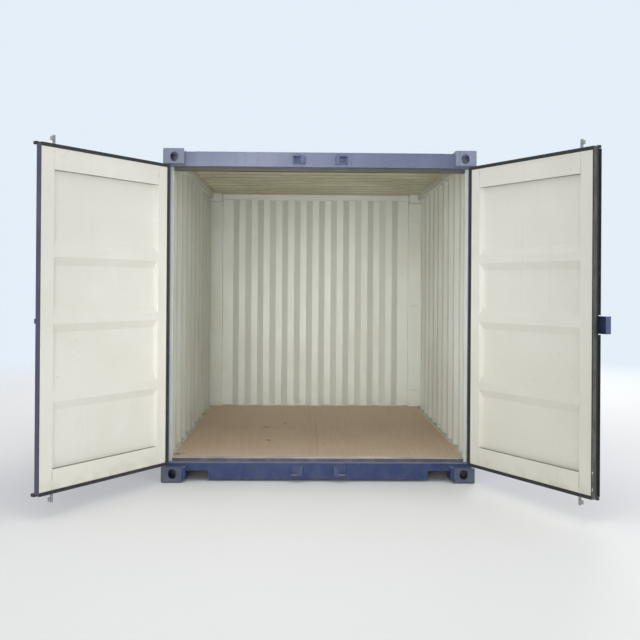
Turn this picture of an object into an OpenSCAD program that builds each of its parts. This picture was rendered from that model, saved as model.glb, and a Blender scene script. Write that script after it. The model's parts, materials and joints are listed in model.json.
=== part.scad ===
// Ten foot shipping container with two end doors, drawn with the doors open.
// X runs along the length with the doors at +X, Y across, Z up from the ground.
// The origin is midway between the slots of the four bottom corner castings.

/* [Overall] */

// length over the corner castings
length = 2991; // [2600:1:3400]
// width over the corner castings
width = 2438; // [2200:1:2700]
// height over the corner castings
height = 2591; // [2150:1:2896]
// how far the left door stands open, from closed
left_open = 125; // [60:0.5:180]
// how far the right door stands open, from closed
right_open = 121.5; // [60:0.5:180]

/* [Corner castings] */

// casting length along the container
cast_x = 178; // [165:1:200]
// casting width across the container
cast_y = 162; // [150:1:175]
// casting height
cast_z = 118; // [110:1:140]
// thickness of the slotted plate
cast_plate = 28; // [20:1:34]
// thickness of the two outer walls
cast_out = 16; // [12:1:20]
// thickness of the inner walls
cast_in = 12; // [8:0.5:14]
// radius of the outer edges
cast_round = 14; // [4:0.5:16]
// length of the twistlock slot
slot_len = 124; // [110:0.5:128]
// radius of the slot ends
slot_r = 31.75; // [28:0.25:34]
// slot centre from the end face
slot_e = 102; // [96:0.5:106]
// slot centre from the side face
slot_y = 89.5; // [80:0.5:96]
// radius of the rounded ends of the wall holes
hole_r = 31.75; // [22:0.25:34]
// height of the end hole
end_hole = 76; // [66:0.5:80]
// width of the side hole
side_hole = 80; // [66:0.5:96]
// side hole's centre from the end face
side_hole_e = 96; // [88:0.5:104]
// height of both holes' centre over the outer face
hole_z = 68; // [62:0.5:74]

/* [Door end frame] */

// depth of the sill and header faces behind the castings' end face
face_e = 60; // [50:1:72]
// gap from a closed leaf to the frame behind it
seat_gap = 10; // [7:0.5:14]
// depth of the posts' front behind the hinge axis
post_off = 35; // [30:1:44]
// gap from the container's side to the posts' outer face
post_in = 9; // [6:1:14]
// width of the front part of a post
post_w = 34; // [28:1:42]
// how far the door stop stands inward from the post's front part
stop_w = 26; // [18:1:40]
// plate thickness of posts, sill and header
plate = 6; // [4:0.5:8]
// height of the sill's underside
sill_z = 17; // [12:1:24]
// height of the ledge under the doors over the castings
ledge_up = 24; // [14:1:36]
// height of the riser from the ledge to the floor
riser_h = 26; // [16:1:40]
// how far the header's top lies below the castings' top
head_drop = 17; // [12:1:24]
// how far the header's front reaches below the castings
head_lip = 13; // [10:1:24]
// height of the door stop below the header's front
head_stop = 26; // [18:1:40]
// depth of the header's recess beside a casting
head_recess = 8; // [4:0.5:12]
// width of the header's recess beside a casting
head_recess_w = 80; // [40:1:140]
// width of each cut-out in the sill
notch_w = 170; // [120:1:220]
// height of each cut-out in the sill
notch_h = 66; // [50:1:80]
// width of the foot plate between casting and cut-out
foot_w = 27; // [20:1:40]
// height of the slope on the foot plate
foot_h = 52; // [40:1:80]

/* [Rails and floor] */

// gap from the container's side to the walls and rails
side_in = 7; // [5:1:10]
// sheet thickness of the bottom rails
rail_t = 4.5; // [3.5:0.5:6]
// width of the bottom rail's top flange
rail_top_w = 48; // [42:1:70]
// width of the bottom rail's lower flange
rail_low_w = 30; // [24:1:50]
// thickness of the plywood
floor_t = 28; // [24:1:34]
// seam between the two floor halves
floor_seam = 2; // [1:0.5:4]
// gap from the floor's edge to the rail's flange
floor_gap = 3; // [1:0.5:8]
// thickness of the threshold strip
strip_t = 3; // [2:0.5:5]
// gap from the threshold strip to the door stops
strip_gap = 2; // [1:0.5:6]
// flange width of the crossmembers
cross_w = 45; // [35:1:60]
// crossmembers between a fork pocket and the end
cross_n = 3; // [1:1:4]
// distance between the fork pockets' centres
fork_pitch = 900; // [760:1:1050]
// outer width of a fork pocket
fork_w = 360; // [300:1:420]
// section of the top rails
top_rail = 60; // [50:1:70]
// wall of the top rails and the back header
top_rail_t = 3; // [2:0.5:5]
// drop from the container's top to the roof sheet's underside
roof_drop = 26; // [24:1:34]

/* [Walls and roof] */

// thickness of the sheet
sheet = 2; // [1.6:0.1:3]
// pitch of the wall corrugation
wave_pitch = 278; // [240:1:320]
// width of an inward flat
wave_near = 72; // [50:1:90]
// width of an outward flat
wave_far = 70; // [50:1:90]
// depth of the wall corrugation
wave_depth = 36; // [25:1:42]
// flat strip at the ends of a wall, at least
wave_edge = 40; // [30:1:80]
// pitch of the roof corrugation
roof_pitch = 209; // [180:1:240]
// width of a roof rib's top
roof_flat = 91; // [70:1:110]
// run of a roof rib's long sides
roof_slope = 13.5; // [8:0.5:20]
// run of a roof rib's ends
roof_end = 40; // [25:1:60]
// height of the roof ribs
roof_rib = 20; // [12:1:22]
// depth of a back post
back_post_e = 62; // [52:1:80]
// width of a back post
back_post_w = 153; // [120:1:180]
// gap from the castings' back face to posts, sill and header
back_in = 6; // [4:1:10]
// gap from there to the back wall's outer face
back_wall_in = 4; // [2:1:8]
// radius of a lashing bar
lash_r = 5; // [4:0.5:7]
// length of a lashing bar
lash_len = 90; // [60:1:105]
// standoff of a lashing bar
lash_off = 25; // [18:1:45]
// middle of the lowest lashing bars over the ground
lash_low = 355; // [280:1:450]
// middle of the highest lashing bars below the container's top
lash_top = 327; // [260:1:420]

/* [Doors] */

// thickness of a door leaf
leaf_t = 50; // [44:1:60]
// how far a closed leaf's outer face stands in front of the sill
leaf_out = 2; // [0:0.5:6]
// half of the gap between the two leaves
leaf_half = 7; // [6:0.5:10]
// thickness of the gasket round a leaf
gasket_t = 10; // [6:0.5:14]
// free gap from the gasket to a post
leaf_gap = 6; // [5:0.5:9]
// free gap from the gasket to the ledge and the header
leaf_gap_z = 5; // [5:0.5:9]
// width of a stile
stile_w = 100; // [85:1:115]
// height of the top rail
top_rail_h = 157; // [130:1:200]
// height of the bottom rail
low_rail_h = 148; // [120:1:180]
// wall of the stiles and rails
stile_t = 3.2; // [2.5:0.1:5]
// depth of the pressed fields
tray_d = 30; // [20:1:42]
// run of a field's sloping sides
tray_run = 14; // [5:1:50]
// height of a field's sloping upper and lower sides
tray_rise = 55; // [40:1:70]
// height of the flat band between two fields
band_h = 50; // [35:1:70]
// height of the top field
top_field_h = 526; // [440:1:600]
// height of the bottom field
low_field_h = 447; // [360:1:520]
// how far the middle band lies above the middle of the other two
mid_up = 34; // [0:1:60]
// gasket's front behind the leaf's outer face
gasket_e = 16; // [8:1:24]
// thickness of the gasket on the leaf's inner face
gasket_lip = 4; // [2:0.5:6]
// width of the gasket on the leaf's inner face
gasket_over = 14; // [4:0.5:20]
// reach of the gasket's corner tips in front of the left leaf
left_tip = 36; // [10:1:45]
// reach of the gasket's corner tips in front of the right leaf
right_tip = 20; // [10:1:45]
// width of the gasket's corner tips
tip_w = 20; // [10:1:26]
// how far the corner tips stand past the gasket in front of the door frame
tip_past = 10; // [2:1:20]
// gap from that part of the corner tips to the leaf's outer face
tip_gap = 5; // [4:0.5:8]
// how far the cover strip reaches in front of the leaf's outer face
cover_e = 10; // [10:0.5:16]
// width of the cover strip's lip over the other leaf
cover_lip = 12; // [12:1:30]
// thickness of the cover strip's lip
cover_t = 5; // [3:0.5:6]

/* [Hinges] */

// hinges on a door
hinge_n = 4; // [3:1:5]
// middle of the first and last hinge from the leaf's end
hinge_end = 229; // [150:1:320]
// distance of the hinge axis from the container's side
hinge_in = 16; // [14:0.5:19]
// gap from the hinge barrel to the blade behind it
hinge_gap = 1; // [0:0.25:3]
// radius of the hinge pin
pin_r = 8; // [6:0.25:9]
// clearance of the pin in its bore
pin_gap = 0.3; // [0.2:0.05:0.5]
// outer radius of the hinge barrel
barrel_r = 13; // [11.5:0.5:15]
// height of a hinge blade
blade_h = 60; // [45:1:80]
// thickness of a hinge blade
blade_t = 12; // [8:1:14]
// length of a hinge blade on the leaf
blade_on = 90; // [60:1:98]
// how far the hinge web lies inside the barrel's outer side
web_in = 4; // [2:0.5:6]
// width of a hinge lug
lug_w = 20; // [18:1:24]
// thickness of a hinge lug
lug_t = 14; // [10:1:18]
// gap between a lug and the blade
lug_gap = 1; // [0.5:0.25:2]
// how far a pin stands past its lugs
pin_end = 4; // [2:1:8]

/* [Lock gear] */

// distance of a lock bar from the middle of the closed doors
bar_y = 167; // [155:1:210]
// distance of a lock bar's axis in front of the leaf
bar_off = 33; // [28:0.5:38]
// outer radius of a lock bar
bar_r = 16.85; // [15:0.05:19]
// pipe wall of a lock bar
bar_t = 3.2; // [2.5:0.1:4]
// how far a lock bar's pipe stands past the leaf
bar_past = 25; // [15:1:35]
// length of the plug in each end of the pipe
bar_plug = 30; // [15:1:60]
// clearance of a bar in its guides
guide_gap = 0.6; // [0.4:0.1:1]
// height of a bar guide
guide_h = 28; // [20:1:40]
// wall of a bar guide beside the bar
guide_t = 7; // [5:0.5:9]
// wall of a bar guide in front of the bar
guide_cap = 4; // [3:0.5:7]
// width of a guide's foot
guide_foot = 70; // [60:1:90]
// drop of the lower middle guide below the left handle
guide_drop = 66; // [60:1:110]
// radius of the cam's shaft
cam_r = 10; // [8:0.5:11]
// reach of the cam's lobe from the bar's axis
cam_reach = 28; // [24:0.5:29]
// height of a cam
cam_h = 24; // [18:1:30]
// how far the cam's shaft ends inside its keeper
cam_in = 6; // [3:0.5:10]
// width of a keeper
keeper_w = 89; // [80:1:100]
// height of a keeper
keeper_h = 56; // [46:1:70]
// thickness of a keeper's prongs
keeper_t = 8; // [6:0.5:10]
// thickness of a keeper's foot and lip
keeper_lip = 5; // [4:0.5:6]
// gap from the bar's axis to the keeper's lip
keeper_mouth = 15; // [13:0.5:18]
// middle of the lower keepers below the ledge
keeper_drop = 54; // [46:1:66]
// middle of the upper keepers over the header's lower edge
keeper_rise = 48; // [40:1:60]
// length of a handle from the bar's axis
handle_len = 275; // [200:1:320]
// height of a handle's section
handle_h = 36; // [28:1:45]
// thickness of a handle
handle_t = 10; // [8:0.5:12]
// left handle over the middle of the third field
handle_up = 16; // [0:1:40]
// right handle over the left one
handle_step = 80; // [60:1:100]
// radius of a handle's hub
hub_r = 22; // [19.5:0.5:26]
// height of a handle's hub
hub_h = 50; // [40:1:60]
// catch from the handle's end
catch_back = 60; // [45:1:90]
// width of a handle catch
catch_w = 40; // [30:1:50]
// how far a catch's foot stands past its shelf on both sides
catch_past = 20; // [10:1:30]
// height of a catch's foot
catch_h = 70; // [50:1:90]
// lock box's middle below the leaf's middle
lock_drop = 16; // [0:1:40]
// depth of the lock box's front behind the castings' end face
lock_front = 4; // [0:0.5:10]
// height of the lock box
lock_h = 117; // [90:1:140]
// how far the lock box reaches past the leaf's free edge
lock_past = 65; // [50:1:80]
// width of the lock box's fixing on its own leaf
lock_foot = 78; // [50:1:90]
// sheet thickness of the lock box
lock_t = 4; // [3:0.5:6]
// gap from the lock box to the other leaf
lock_gap = 6; // [5:0.5:9]
// eye plate from its leaf's free edge
eye_in = 14; // [10:0.5:20]
// thickness of the eye plate
eye_t = 8; // [6:0.5:10]
// height of the eye plate
eye_h = 32; // [26:1:40]
// radius of the eye
eye_r = 8; // [6:0.5:9]

/* [Hidden] */

$fn = 64;
blue = [0.2, 0.26, 0.46];
cream = [0.86, 0.85, 0.8];
wood = [0.56, 0.46, 0.36];
rubber = [0.07, 0.07, 0.08];
zinc = [0.6, 0.61, 0.62];
// overlap of the cutting shapes
cut = 1;
tiny = 0.01;

// depths at the door end, from the castings' end face
leaf_e = face_e - leaf_out;
leaf_in_e = leaf_e + leaf_t;
seat_e = leaf_in_e + seat_gap;
hinge_e = leaf_e - blade_t - hinge_gap - barrel_r;
post_e = hinge_e + post_off;
bar_e = leaf_e - bar_off;
tray_out_e = leaf_in_e - tray_d - sheet;
back_in_e = back_in + back_post_e;

// places along and across
end_x = length / 2;
side_y = width / 2;
rail_end = end_x - cast_x;
cast_side = side_y - cast_y;
post_out = side_y - post_in;
post_front_in = post_out - post_w;
post_stop_in = post_front_in - stop_w;
back_post_y = post_out - back_post_w;
wall_out = side_y - side_in;
wall_in = wall_out - wave_depth - sheet;
leaf_side = post_front_in - leaf_gap - gasket_t;
field_y0 = leaf_half + stile_w;
field_y1 = leaf_side - stile_w;
cover_y = leaf_gap - leaf_half;
hinge_x = end_x - hinge_e;
hinge_y = side_y - hinge_in;

// heights
ledge_z = cast_z + ledge_up;
floor_z = ledge_z + riser_h;
floor_low = floor_z - floor_t;
rail_z = floor_z + rail_t;
head_top = height - head_drop;
head_low = height - cast_z - head_lip;
head_stop_z = head_low - head_stop;
roof_z = height - roof_drop;
top_rail_z = roof_z - top_rail;
leaf_low = ledge_z + leaf_gap_z + gasket_t;
leaf_top = head_low - leaf_gap_z - gasket_t;
keeper_low_z = ledge_z - keeper_drop;
keeper_top_z = head_low + keeper_rise;
lock_z = (leaf_low + leaf_top) / 2 - lock_drop;
band_1 = leaf_top - top_rail_h - top_field_h - band_h / 2;
band_3 = leaf_low + low_rail_h + low_field_h + band_h / 2;
band_2 = (band_1 + band_3) / 2 + mid_up;
// the fields' lower and upper edges, from the top one down
field_edges = [
    [band_1 + band_h / 2, leaf_top - top_rail_h],
    [band_2 + band_h / 2, band_1 - band_h / 2],
    [band_3 + band_h / 2, band_2 - band_h / 2],
    [leaf_low + low_rail_h, band_3 - band_h / 2]
];
left_handle_z = (band_2 + band_3) / 2 + handle_up;
right_handle_z = left_handle_z + handle_step;
function hinge_z(i) = leaf_low + hinge_end + (leaf_top - leaf_low - 2 * hinge_end) * i / (hinge_n - 1);
// each guide's height and the depth of the surface that it is fixed to
guide_spots = [
    [leaf_low + low_rail_h / 2, leaf_e],
    [left_handle_z - guide_drop, tray_out_e],
    [(band_1 + band_2) / 2, tray_out_e],
    [leaf_top - top_rail_h / 2, leaf_e]
];

// a box between two opposite corners
module slab(a, b) {
    translate(a) cube(b - a);
}

// the door end: x runs inward from the castings' end face
module door_end() {
    translate([end_x, 0, 0]) mirror([1, 0, 0]) children();
}

// the back end: x runs inward from the castings' back face
module back_end() {
    translate([-end_x, 0, 0]) children();
}

// the left side, drawn as the mirror image of the right one
module left_side() {
    mirror([0, 1, 0]) children();
}

// the piece and its mirror image
module both_sides() {
    children();
    left_side() children();
}

// a bar along Y with its section drawn in depth and height
module along_y(y0, y1) {
    translate([0, y1, 0]) rotate([90, 0, 0]) linear_extrude(y1 - y0) children();
}

// a door part, drawn closed on the right side and swung open
module right_door() {
    translate([hinge_x, hinge_y, 0]) rotate(right_open) translate([-hinge_x, -hinge_y, 0])
        door_end() children();
}

// the same for the left side
module left_door() {
    left_side() translate([hinge_x, hinge_y, 0]) rotate(left_open) translate([-hinge_x, -hinge_y, 0])
        door_end() children();
}

// a rounded hole along Z, its length along X
module slot_z(len, r, h) {
    for (s = [-1, 1]) translate([s * (len / 2 - r), 0, 0]) cylinder(h = h, r = r);
    translate([-(len / 2 - r), -r, 0]) cube([len - 2 * r, 2 * r, h]);
}

// a rectangle with the corner at its origin rounded
module round_corner(a, b) {
    difference() {
        square([a, b]);
        difference() {
            square(cast_round);
            translate([cast_round, cast_round]) circle(cast_round);
        }
    }
}

// one casting: x, y and z run inward from its three outer faces
module casting() {
    difference() {
        intersection() {
            linear_extrude(cast_z) round_corner(cast_x, cast_y);
            along_y(0, cast_y) round_corner(cast_x, cast_z);
            rotate([90, 0, 90]) linear_extrude(cast_x) round_corner(cast_y, cast_z);
        }
        slab([cast_out, cast_out, cast_plate], [cast_x - cast_in, cast_y - cast_in, cast_z - cast_in]);
        translate([slot_e, slot_y, -cut]) slot_z(slot_len, slot_r, cast_plate + 2 * cut);
        translate([-cut, slot_y, hole_z]) rotate([0, 90, 0]) slot_z(end_hole, hole_r, cast_out + 2 * cut);
        translate([side_hole_e, -cut, hole_z]) rotate([-90, 0, 0])
            slot_z(side_hole, hole_r, cast_out + 2 * cut);
    }
}

module four_castings() {
    for (m = [0, 1], n = [0, 1])
        mirror([m, 0, 0]) mirror([0, n, 0]) translate([-end_x, -side_y, 0]) casting();
}

module bottom_castings() {
    color(blue) four_castings();
}

module top_castings() {
    color(blue) translate([0, 0, height]) mirror([0, 0, 1]) four_castings();
}

// the section of a door post, right side, grown or shrunk by t
module post_section(t) {
    translate([post_e + t, post_front_in + t]) square([cast_x - post_e - 2 * t, post_w - 2 * t]);
    translate([seat_e + t, post_stop_in + t])
        square([cast_x - seat_e - 2 * t, post_out - post_stop_in - 2 * t]);
}

module door_post() {
    door_end() translate([0, 0, cast_z]) linear_extrude(height - 2 * cast_z) difference() {
        post_section(0);
        post_section(plate);
    }
}

module left_door_post() {
    color(blue) left_side() door_post();
}

module right_door_post() {
    color(blue) door_post();
}

module back_post() {
    back_end() translate([back_in, back_post_y, cast_z]) linear_extrude(height - 2 * cast_z) difference() {
        square([back_post_e, post_out - back_post_y]);
        translate([plate, plate]) square([back_post_e - 2 * plate, post_out - back_post_y - 2 * plate]);
    }
}

module left_back_post() {
    color(cream) left_side() back_post();
}

module right_back_post() {
    color(cream) back_post();
}

// per hinge two lugs on the post with the pin through them
module hinge_lugs() {
    door_end() for (i = [0 : hinge_n - 1]) translate([hinge_e, hinge_y, hinge_z(i)]) {
        for (s = [-1, 1]) translate([0, 0, s * (blade_h / 2 + lug_gap + lug_t / 2)]) {
            translate([0, -lug_w / 2, -lug_t / 2]) cube([post_e - hinge_e, lug_w, lug_t]);
            translate([0, 0, -lug_t / 2]) cylinder(h = lug_t, r = lug_w / 2);
        }
        translate([0, 0, -blade_h / 2 - lug_gap - lug_t - pin_end])
            cylinder(h = blade_h + 2 * (lug_gap + lug_t + pin_end), r = pin_r);
    }
}

module left_hinge_lugs() {
    color(blue) left_side() hinge_lugs();
}

module right_hinge_lugs() {
    color(blue) hinge_lugs();
}

// the sill's section between the castings, shrunk by t
module sill_section(t) {
    translate([face_e + t, sill_z + t]) square([cast_x - face_e - 2 * t, ledge_z - sill_z - 2 * t]);
    translate([seat_e + t, sill_z + t]) square([cast_x - seat_e - 2 * t, floor_z - sill_z - 2 * t]);
}

// the same above a casting, open below when shrunk
module sill_end_section(t) {
    low = cast_z - (t > 0 ? cut : 0);
    translate([seat_e + t, low]) square([cast_x - seat_e - 2 * t, floor_z - t - low]);
}

module ledge_end_section(t) {
    low = cast_z - (t > 0 ? cut : 0);
    translate([face_e + t, low]) square([seat_e - face_e, ledge_z - t - low]);
}

// the cut-out beside a casting, grown by t
module sill_notch(t) {
    y1 = cast_side - foot_w + t;
    both_sides() slab([-cut, y1 - notch_w - 2 * t, -cut], [cast_x + cut, y1, sill_z + notch_h + t]);
}

module sill_body(t) {
    difference() {
        along_y(-cast_side, cast_side) sill_section(t);
        sill_notch(t);
    }
    both_sides() {
        along_y(cast_side, post_stop_in) sill_end_section(t);
        along_y(cast_side, post_front_in) ledge_end_section(t);
    }
}

// the foot plate beside a casting, with its sloping lower corner
module sill_foot() {
    door_foot = [
        [cast_side, 0], [cast_side, cast_z], [cast_side - foot_w, cast_z], [cast_side - foot_w, foot_h]
    ];
    translate([cast_x, 0, 0]) rotate([90, 0, -90]) linear_extrude(cast_x - plate)
        polygon([for (p = door_foot) [-p[0], p[1]]]);
}

module door_sill() {
    color(blue) door_end() {
        difference() {
            sill_body(0);
            sill_body(plate);
        }
        both_sides() sill_foot();
    }
}

// the header's section behind a face at depth e, shrunk by t
module head_section(e, t) {
    translate([e + t, head_low + t]) square([cast_x - e - 2 * t, head_top - head_low - 2 * t]);
    translate([seat_e + t, head_stop_z + t])
        square([cast_x - seat_e - 2 * t, head_top - head_stop_z - 2 * t]);
}

// the same below a casting, open above when shrunk
module head_end_section(t) {
    top = height - cast_z + (t > 0 ? cut : 0);
    translate([seat_e + t, head_stop_z + t]) square([cast_x - seat_e - 2 * t, top - head_stop_z - t]);
}

module head_lip_section(t) {
    e = face_e + head_recess + t;
    top = height - cast_z + (t > 0 ? cut : 0);
    translate([e, head_low + t]) square([seat_e + t - e, top - head_low - t]);
}

module head_body(t) {
    y = cast_side - head_recess_w - t;
    along_y(-y, y) head_section(face_e, t);
    along_y(-cast_side, cast_side) head_section(face_e + head_recess, t);
    both_sides() {
        along_y(cast_side, post_stop_in) head_end_section(t);
        along_y(cast_side, post_front_in) head_lip_section(t);
    }
}

module door_header() {
    color(blue) door_end() difference() {
        head_body(0);
        head_body(plate);
    }
}

// a hollow bar along Y at the back end
module back_bar(z0, z1, t) {
    back_end() along_y(-cast_side, cast_side) difference() {
        translate([back_in, z0]) square([back_post_e, z1 - z0]);
        translate([back_in + t, z0 + t]) square([back_post_e - 2 * t, z1 - z0 - 2 * t]);
    }
}

module back_sill() {
    color(blue) back_bar(sill_z, floor_z, rail_t);
}

module back_header() {
    color(cream) back_bar(top_rail_z, roof_z, top_rail_t);
}

// a keeper for the right lock bar: a foot, a hooked prong toward the middle, a short one and a web below
module keeper() {
    half = keeper_w / 2;
    translate([0, bar_y, -keeper_h / 2]) {
        translate([0, -half, -keeper_lip]) cube([face_e, keeper_w, keeper_lip]);
        translate([face_e - keeper_lip, -half, 0]) cube([keeper_lip, keeper_w, keeper_h]);
        translate([0, -half, 0]) cube([face_e, keeper_t, keeper_h]);
        translate([0, -half, 0]) cube([keeper_lip, half - keeper_mouth, keeper_h]);
        translate([bar_e + cam_r, half - keeper_t, 0]) cube([face_e - bar_e - cam_r, keeper_t, keeper_h]);
    }
}

module sill_keepers() {
    color(blue) door_end() both_sides() translate([0, 0, keeper_low_z]) keeper();
}

module header_keepers() {
    color(blue) door_end() both_sides() translate([0, 0, keeper_top_z]) mirror([0, 0, 1]) keeper();
}

// the outer shape of the fork pockets
module fork_blocks(t) {
    for (s = [-1, 1]) translate([s * fork_pitch / 2, 0, 0])
        slab([t - fork_w / 2, -wall_out, sill_z + t], [fork_w / 2 - t, wall_out, floor_low - t]);
}

// a channel with its back outward, and its raised end over the back casting
module bottom_rail() {
    web_y = wall_out - rail_t;
    difference() {
        union() {
            slab([-rail_end, web_y, sill_z], [rail_end, wall_out, rail_z]);
            slab([-rail_end, wall_out - rail_top_w, floor_z], [rail_end, wall_out, rail_z]);
            slab([-rail_end, wall_out - rail_low_w, sill_z], [rail_end, wall_out, sill_z + rail_t]);
            slab([back_in_e - end_x, web_y, cast_z], [-rail_end, wall_out, rail_z]);
            slab([back_in_e - end_x, wall_out - rail_top_w, floor_z], [-rail_end, wall_out, rail_z]);
        }
        fork_blocks(0);
    }
}

module left_bottom_rail() {
    color(blue) left_side() bottom_rail();
}

module right_bottom_rail() {
    color(blue) bottom_rail();
}

module upper_rail() {
    rotate([90, 0, 90]) translate([0, 0, -rail_end]) linear_extrude(2 * rail_end) difference() {
        translate([wall_out - top_rail, top_rail_z]) square(top_rail);
        translate([wall_out - top_rail + top_rail_t, top_rail_z + top_rail_t])
            square(top_rail - 2 * top_rail_t);
    }
}

module left_top_rail() {
    color(blue) left_side() upper_rail();
}

module right_top_rail() {
    color(blue) upper_rail();
}

// the line of a corrugated wall: ribs rise inward from flat strips at both ends
wave_slope = (wave_pitch - wave_near - wave_far) / 2;
function wave_count(len) = floor((len - 2 * wave_edge + wave_far) / wave_pitch);
function wave_line(len) =
    let (n = wave_count(len), first = (len - n * wave_pitch + wave_far) / 2)
    concat(
        [[0, 0]],
        [for (i = [0 : n - 1], k = [0 : 3])
            let (x = first + i * wave_pitch)
            [x + [0, wave_slope, wave_slope + wave_near, 2 * wave_slope + wave_near][k],
             [0, wave_depth, wave_depth, 0][k]]],
        [[len, 0]]
    );

// the sheet's outline seen from above, its outer face on y = 0
module wave_section(len) {
    line = wave_line(len);
    last = len(line) - 1;
    polygon(concat(line, [for (i = [last : -1 : 0]) line[i] + [0, sheet]]));
}

// one side wall, notched round the upper back casting
module side_wall() {
    len = rail_end + end_x - back_in_e;
    difference() {
        translate([-end_x + back_in_e, wall_out, rail_z]) mirror([0, 1, 0])
            linear_extrude(top_rail_z - rail_z) wave_section(len);
        slab([-end_x, cast_side, height - cast_z], [-rail_end, side_y, height]);
    }
}

module left_wall() {
    color(cream) left_side() side_wall();
}

module right_wall() {
    color(cream) side_wall();
}

module back_wall() {
    color(cream) translate([-end_x + back_in + back_wall_in, back_post_y, floor_z]) rotate(-90)
        linear_extrude(top_rail_z - floor_z) wave_section(2 * back_post_y);
}

// a block that narrows upward, from one rectangle to another
module frustum(a, b, h, run, low_rise, top_rise) {
    polyhedron(
        points = [
            [a[0], a[1], 0], [b[0], a[1], 0], [b[0], b[1], 0], [a[0], b[1], 0],
            [a[0] + run, a[1] + low_rise, h], [b[0] - run, a[1] + low_rise, h],
            [b[0] - run, b[1] - top_rise, h], [a[0] + run, b[1] - top_rise, h]
        ],
        faces = [
            [0, 1, 2, 3], [4, 7, 6, 5], [0, 4, 5, 1], [1, 5, 6, 2], [2, 6, 7, 3], [3, 7, 4, 0]
        ]
    );
}

roof_n = floor((2 * rail_end - 2 * wave_edge) / roof_pitch);

// all roof ribs, shrunk by t on every side
module roof_ribs(t) {
    rib = roof_flat + 2 * roof_slope;
    half = wall_out - top_rail - roof_slope;
    low = roof_z - (t > 0 ? tiny : 0);
    for (i = [0 : roof_n - 1]) translate([(i - (roof_n - 1) / 2) * roof_pitch, 0, low])
        frustum([t - rib / 2, t - half], [rib / 2 - t, half - t], roof_rib + sheet - t, roof_slope,
            roof_end, roof_end);
}

module roof() {
    color(blue) difference() {
        union() {
            slab([-rail_end, -wall_out, roof_z], [rail_end, wall_out, roof_z + sheet]);
            slab([back_in - end_x, -cast_side, roof_z], [-rail_end, cast_side, roof_z + sheet]);
            roof_ribs(0);
        }
        roof_ribs(sheet);
    }
}

// one channel under the floor
module crossmember() {
    half = wall_out - rail_t;
    z0 = sill_z + rail_t;
    slab([0, -half, z0], [rail_t, half, floor_low]);
    slab([0, -half, z0], [cross_w, half, z0 + rail_t]);
    slab([0, -half, floor_low - rail_t], [cross_w, half, floor_low]);
}

module crossmembers() {
    inner = (fork_pitch + fork_w) / 2;
    step = (rail_end - inner) / (cross_n + 1);
    color(blue) {
        translate([-rail_t / 2, 0, 0]) crossmember();
        for (m = [0, 1], i = [1 : cross_n])
            mirror([m, 0, 0]) translate([inner + i * step - cross_w / 2, 0, 0]) crossmember();
    }
}

module fork_pockets() {
    color(blue) difference() {
        fork_blocks(0);
        for (s = [-1, 1]) translate([s * fork_pitch / 2, 0, 0])
            slab([rail_t - fork_w / 2, -wall_out - cut, sill_z + rail_t],
                [fork_w / 2 - rail_t, wall_out + cut, floor_low - rail_t]);
    }
}

module floor_half() {
    slab([back_in_e - end_x, floor_seam / 2, floor_low],
        [rail_end, wall_out - rail_top_w - floor_gap, floor_z]);
}

module left_floor() {
    color(wood) left_side() floor_half();
}

module right_floor() {
    color(wood) floor_half();
}

module threshold() {
    y = post_stop_in - strip_gap;
    color(zinc) door_end() slab([seat_e, -y, floor_z], [cast_x, y, floor_z + strip_t]);
}

// bars on the inner face of the back posts, standing off on two short stubs
module lashing_bars() {
    y = (back_post_y + wall_in) / 2;
    high = height - lash_top;
    color(cream) back_end() both_sides() for (z = [lash_low, (lash_low + high) / 2, high])
        translate([back_in_e, y, z]) {
            translate([lash_off, -lash_len / 2, 0]) rotate([-90, 0, 0]) cylinder(h = lash_len, r = lash_r);
            for (s = [-1, 1]) translate([0, s * (lash_len / 2 - lash_r), 0]) rotate([0, 90, 0])
                cylinder(h = lash_off, r = lash_r);
        }
}

// the frame of a closed leaf: two hollow stiles and two hollow rails
module door_frame() {
    module stile(y) {
        translate([leaf_e, y, leaf_low]) linear_extrude(leaf_top - leaf_low) difference() {
            square([leaf_t, stile_w]);
            translate([stile_t, stile_t]) square([leaf_t - 2 * stile_t, stile_w - 2 * stile_t]);
        }
    }
    module rail(z, h) {
        along_y(field_y0, field_y1) difference() {
            translate([leaf_e, z]) square([leaf_t, h]);
            translate([leaf_e + stile_t, z + stile_t]) square([leaf_t - 2 * stile_t, h - 2 * stile_t]);
        }
    }
    stile(leaf_half);
    stile(field_y1);
    rail(leaf_low, low_rail_h);
    rail(leaf_top - top_rail_h, top_rail_h);
}

// all pressed fields of a closed leaf, shrunk by t on every side
module door_fields(t) {
    for (i = [0 : 3]) {
        low = field_edges[i][0];
        top = field_edges[i][1];
        translate([leaf_in_e + (t > 0 ? tiny : 0), 0, 0]) rotate([90, 0, -90]) mirror([1, 0, 0])
            frustum([field_y0 + t, low + t], [field_y1 - t, top - t], tray_d + sheet - t,
                tray_run, i < 3 ? tray_rise : 0, i > 0 ? tray_rise : 0);
    }
}

module door_panel() {
    difference() {
        union() {
            slab([leaf_in_e - sheet, field_y0, leaf_low + low_rail_h],
                [leaf_in_e, field_y1, leaf_top - top_rail_h]);
            door_fields(0);
        }
        door_fields(sheet);
    }
}

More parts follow.
